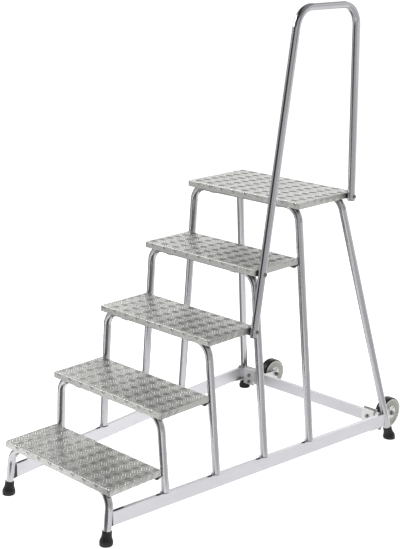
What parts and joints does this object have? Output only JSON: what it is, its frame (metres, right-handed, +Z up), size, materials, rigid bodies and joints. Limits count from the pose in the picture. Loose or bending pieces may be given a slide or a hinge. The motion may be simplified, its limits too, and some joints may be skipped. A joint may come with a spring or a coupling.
{
  "type": "rolling warehouse ladder",
  "caption": "Rolling warehouse ladder: patterned folded steps on bent tube bows, a base frame of flat tube, a handrail on one side, rubber feet and tilt-back wheels.",
  "frame": {"origin": "centre of the footprint on the floor, halfway between the front feet and the back of the wheels", "axes": "+Z up, +Y the way the climber goes, from step 1 towards the platform, +X to the climber's right, the handrail's side"},
  "size_m": [0.821, 1.5264, 1.688],
  "materials": {
    "tread_sheet": "raised bar pattern, satin",
    "bow_tube": "drawn tube, satin",
    "hand_tube": "drawn tube, satin",
    "rail_metal": "mill finish",
    "cast_black": "black coated casting",
    "bracket_metal": "mill finish plate",
    "strap_metal": "zinc plated",
    "bolt_metal": "dark zinc plated",
    "foot_rubber": "matt black",
    "plug_plastic": "matt black",
    "tyre_rubber": "smooth black",
    "rim_plastic": "cream grey moulded",
    "bush_metal": "turned"
  },
  "bodies": {
    "frame": {"step_1": "tread_sheet", "step_2": "tread_sheet", "step_3": "tread_sheet", "step_4": "tread_sheet", "platform": "tread_sheet", "bow_1": "bow_tube", "bow_2": "bow_tube", "bow_3": "bow_tube", "bow_4": "bow_tube", "bow_5": "bow_tube", "bow_6": "bow_tube", "side_rail_left": "rail_metal", "side_rail_right": "rail_metal", "rear_rail": "rail_metal", "rail_connectors": "cast_black", "corner_gussets": "bracket_metal", "corner_bolts": "bolt_metal", "corner_nuts": "bolt_metal", "seat_lugs": "cast_black", "saddle_straps": "strap_metal", "saddle_rivets": "strap_metal", "foot_front_left": "foot_rubber", "foot_front_right": "foot_rubber", "foot_rear_left": "foot_rubber", "foot_rear_right": "foot_rubber", "handrail": "hand_tube", "handrail_spacers": "plug_plastic", "handrail_bolts": "bolt_metal", "handrail_nuts": "bolt_metal", "handrail_plugs": "plug_plastic", "wheel_bracket_left": "bracket_metal", "wheel_bracket_right": "bracket_metal", "axle_left": "bolt_metal", "axle_right": "bolt_metal", "clamp_plates": "bracket_metal", "axle_nuts": "bolt_metal", "axle_washers": "strap_metal", "bracket_bolts": "bolt_metal", "bracket_nuts": "bolt_metal"},
    "wheel_left": {"tyre_left": "tyre_rubber", "rim_left": "rim_plastic", "bush_left": "bush_metal"},
    "wheel_right": {"tyre_right": "tyre_rubber", "rim_right": "rim_plastic", "bush_right": "bush_metal"}
  },
  "joints": [
    {"name": "wheel_left_spin", "type": "hinge", "parent": "frame", "child": "wheel_left", "pos_m": [-0.31, 0.70325, 0.063], "axis": [1, 0, 0], "continuous": true},
    {"name": "wheel_right_spin", "type": "hinge", "parent": "frame", "child": "wheel_right", "pos_m": [0.31, 0.70325, 0.063], "axis": [1, 0, 0], "continuous": true}
  ]
}
